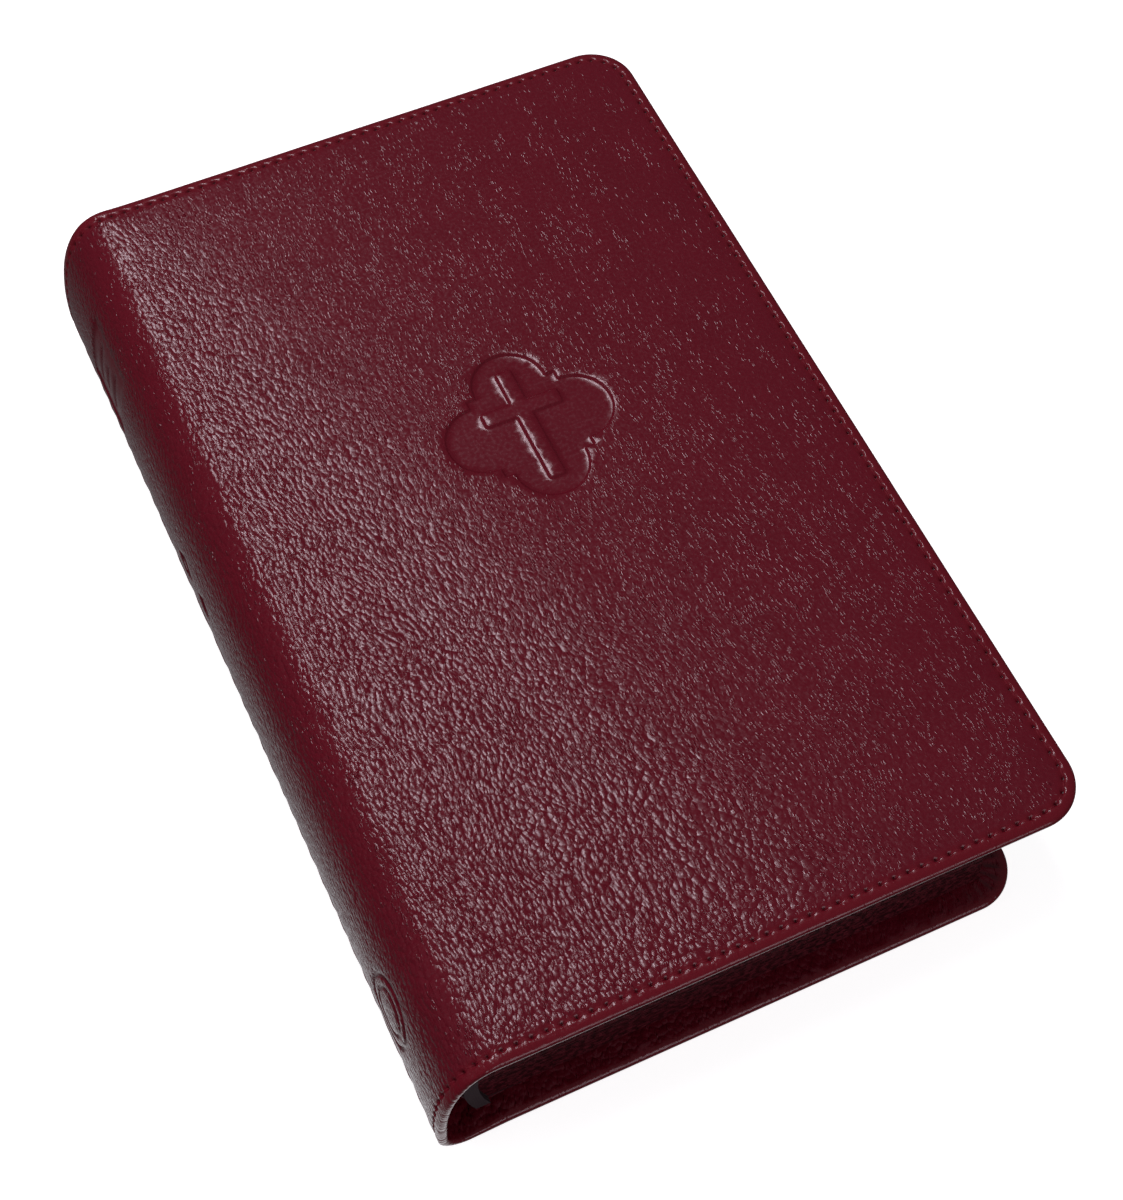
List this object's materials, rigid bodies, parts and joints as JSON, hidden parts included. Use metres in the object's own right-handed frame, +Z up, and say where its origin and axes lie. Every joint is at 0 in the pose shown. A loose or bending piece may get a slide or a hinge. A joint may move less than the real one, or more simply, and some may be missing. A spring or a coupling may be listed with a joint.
{
  "type": "prayer book",
  "caption": "Closed leather-bound book with flush stitched covers, a round spine and dyed page edges; both covers open and the endpapers and first leaves turn with them.",
  "frame": {"origin": "under the middle of the closed book, on the plane the back cover rests on", "axes": "+X from the spine to the fore edge, +Y from the tail to the head, +Z up through the thickness"},
  "size_m": [0.1146, 0.178, 0.0314],
  "materials": {
    "leather": "glossy pebbled burgundy",
    "thread": "waxed dark red thread",
    "board": "grey-brown board",
    "endpaper": "matt cream",
    "page_edge": "cream pages with burgundy edges",
    "binding_cloth": "open woven cotton",
    "band": "woven grey and red silk",
    "liner": "brown kraft paper"
  },
  "bodies": {
    "text_block": {"spine_leather": "leather", "spine_stitching": "thread", "spine_liner": "liner", "mull": "binding_cloth", "sewing_tapes": "binding_cloth", "kettle_stitches": "binding_cloth", "head_band": "band", "tail_band": "band", "leaf_stubs": "page_edge", "section_01": "page_edge", "section_02": "page_edge", "section_03": "page_edge", "section_04": "page_edge", "section_05": "page_edge", "section_06": "page_edge", "section_07": "page_edge", "section_08": "page_edge", "section_09": "page_edge", "section_10": "page_edge", "section_11": "page_edge", "section_12": "page_edge", "section_13": "page_edge", "section_14": "page_edge", "section_15": "page_edge", "section_16": "page_edge"},
    "front_cover": {"front_cover_leather": "leather", "front_cover_board": "board", "front_pastedown": "endpaper", "front_stitching": "thread"},
    "back_cover": {"back_cover_leather": "leather", "back_cover_board": "board", "back_pastedown": "endpaper", "back_stitching": "thread"},
    "front_flyleaf": {"front_flyleaf": "endpaper"},
    "back_flyleaf": {"back_flyleaf": "endpaper"},
    "leaf_01": {"leaf_01": "page_edge"},
    "leaf_02": {"leaf_02": "page_edge"},
    "leaf_03": {"leaf_03": "page_edge"},
    "leaf_04": {"leaf_04": "page_edge"}
  },
  "joints": [
    {"name": "front_cover_open", "type": "hinge", "parent": "text_block", "child": "front_cover", "pos_m": [-0.04885, 0, 0.03099], "axis": [0, -1, 0], "range_deg": [0, 178]},
    {"name": "back_cover_open", "type": "hinge", "parent": "text_block", "child": "back_cover", "pos_m": [-0.04885, 0, 0], "axis": [0, -1, 0], "range_deg": [-178, 0]},
    {"name": "front_flyleaf_turn", "type": "hinge", "parent": "text_block", "child": "front_flyleaf", "pos_m": [-0.04285, 0, 0.0283], "axis": [0, -1, 0], "range_deg": [0, 139]},
    {"name": "back_flyleaf_turn", "type": "hinge", "parent": "text_block", "child": "back_flyleaf", "pos_m": [-0.04285, 0, 0.0031], "axis": [0, -1, 0], "range_deg": [-132, 0]},
    {"name": "leaf_01_turn", "type": "hinge", "parent": "text_block", "child": "leaf_01", "pos_m": [-0.04125, 0, 0.02754], "axis": [0, -1, 0], "range_deg": [0, 20]},
    {"name": "leaf_02_turn", "type": "hinge", "parent": "text_block", "child": "leaf_02", "pos_m": [-0.04165, 0, 0.02769], "axis": [0, -1, 0], "range_deg": [0, 43]},
    {"name": "leaf_03_turn", "type": "hinge", "parent": "text_block", "child": "leaf_03", "pos_m": [-0.04205, 0, 0.02784], "axis": [0, -1, 0], "range_deg": [0, 66]},
    {"name": "leaf_04_turn", "type": "hinge", "parent": "text_block", "child": "leaf_04", "pos_m": [-0.04245, 0, 0.02799], "axis": [0, -1, 0], "range_deg": [0, 88]}
  ],
  "couplings": [
    {"joint": "front_flyleaf_turn", "follows": "front_cover_open", "ratio": 0.78},
    {"joint": "leaf_01_turn", "follows": "front_cover_open", "ratio": 0.11},
    {"joint": "leaf_02_turn", "follows": "front_cover_open", "ratio": 0.24},
    {"joint": "leaf_03_turn", "follows": "front_cover_open", "ratio": 0.37},
    {"joint": "leaf_04_turn", "follows": "front_cover_open", "ratio": 0.49},
    {"joint": "back_flyleaf_turn", "follows": "back_cover_open", "ratio": 0.74}
  ]
}
